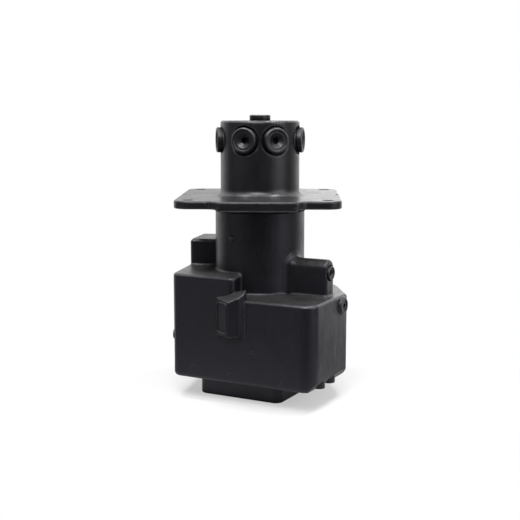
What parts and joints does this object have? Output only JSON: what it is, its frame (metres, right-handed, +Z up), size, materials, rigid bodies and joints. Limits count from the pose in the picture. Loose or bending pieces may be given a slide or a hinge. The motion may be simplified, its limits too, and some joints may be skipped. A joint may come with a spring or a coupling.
{
  "type": "hydraulic rotary union",
  "caption": "Hydraulic rotary union: a square-flanged rotor with a ring of radial ports turns without end in a cast housing block with stepped decks.",
  "frame": {"origin": "middle of the bottom cover's underside, on the axis of rotation", "axes": "+Z up along the axis of rotation, -Y out of the front face of the block"},
  "size_m": [0.1992, 0.1992, 0.2745],
  "materials": {
    "painted_casting": "satin black paint over a fine cast skin",
    "painted_cover": "satin black paint over machined iron",
    "painted_plug": "satin black paint over turned steel",
    "bolt_steel": "black oxide",
    "bonded_washer": "bonded sealing washer, steel with a rubber lip",
    "slide_ring": "bronze-filled slide ring",
    "seal_rubber": "nitrile rubber",
    "bronze": "turned bronze"
  },
  "bodies": {
    "housing": {"bleed_screw": "bolt_steel", "boss_plug": "painted_plug", "boss_plug_washer": "bonded_washer", "bottom_cover": "painted_cover", "cover_bolts": "bolt_steel", "cover_seal": "seal_rubber", "drain_plug": "painted_plug", "drain_plug_washer": "bonded_washer", "dust_seal": "seal_rubber", "housing_casting": "painted_casting", "lower_guide_ring": "slide_ring", "lower_thrust_washer": "bronze", "lug_plug": "painted_plug", "lug_plug_washer": "bonded_washer", "neck_plug": "painted_plug", "neck_plug_washer": "bonded_washer", "rear_plug_1": "painted_plug", "rear_plug_1_washer": "bonded_washer", "rear_plug_2": "painted_plug", "rear_plug_2_washer": "bonded_washer", "rear_plug_3": "painted_plug", "rear_plug_3_washer": "bonded_washer", "seal_energisers": "seal_rubber", "seal_ring_1": "slide_ring", "seal_ring_2": "slide_ring", "seal_ring_3": "slide_ring", "seal_ring_4": "slide_ring", "seal_ring_5": "slide_ring", "seal_ring_6": "slide_ring", "seal_ring_7": "slide_ring", "seal_ring_8": "slide_ring", "side_plug": "painted_plug", "upper_guide_ring": "slide_ring", "upper_thrust_washer": "bronze"},
    "rotor": {"gallery_plugs": "bolt_steel", "head_plug_1": "painted_plug", "head_plug_2": "painted_plug", "head_plug_3": "painted_plug", "head_plug_4": "painted_plug", "head_plug_5": "painted_plug", "head_plug_6": "painted_plug", "head_plug_7": "painted_plug", "head_plug_washer_1": "bonded_washer", "head_plug_washer_2": "bonded_washer", "head_plug_washer_3": "bonded_washer", "head_plug_washer_4": "bonded_washer", "head_plug_washer_5": "bonded_washer", "head_plug_washer_6": "bonded_washer", "head_plug_washer_7": "bonded_washer", "retainer_bolts": "bolt_steel", "retainer_plate": "bolt_steel", "rotor_shaft": "painted_casting", "top_plug": "painted_plug", "top_plug_washer": "bonded_washer"}
  },
  "joints": [
    {"name": "rotor_spin", "type": "hinge", "parent": "housing", "child": "rotor", "pos_m": [0, 0, 0.189], "axis": [0, 0, 1], "continuous": true}
  ]
}
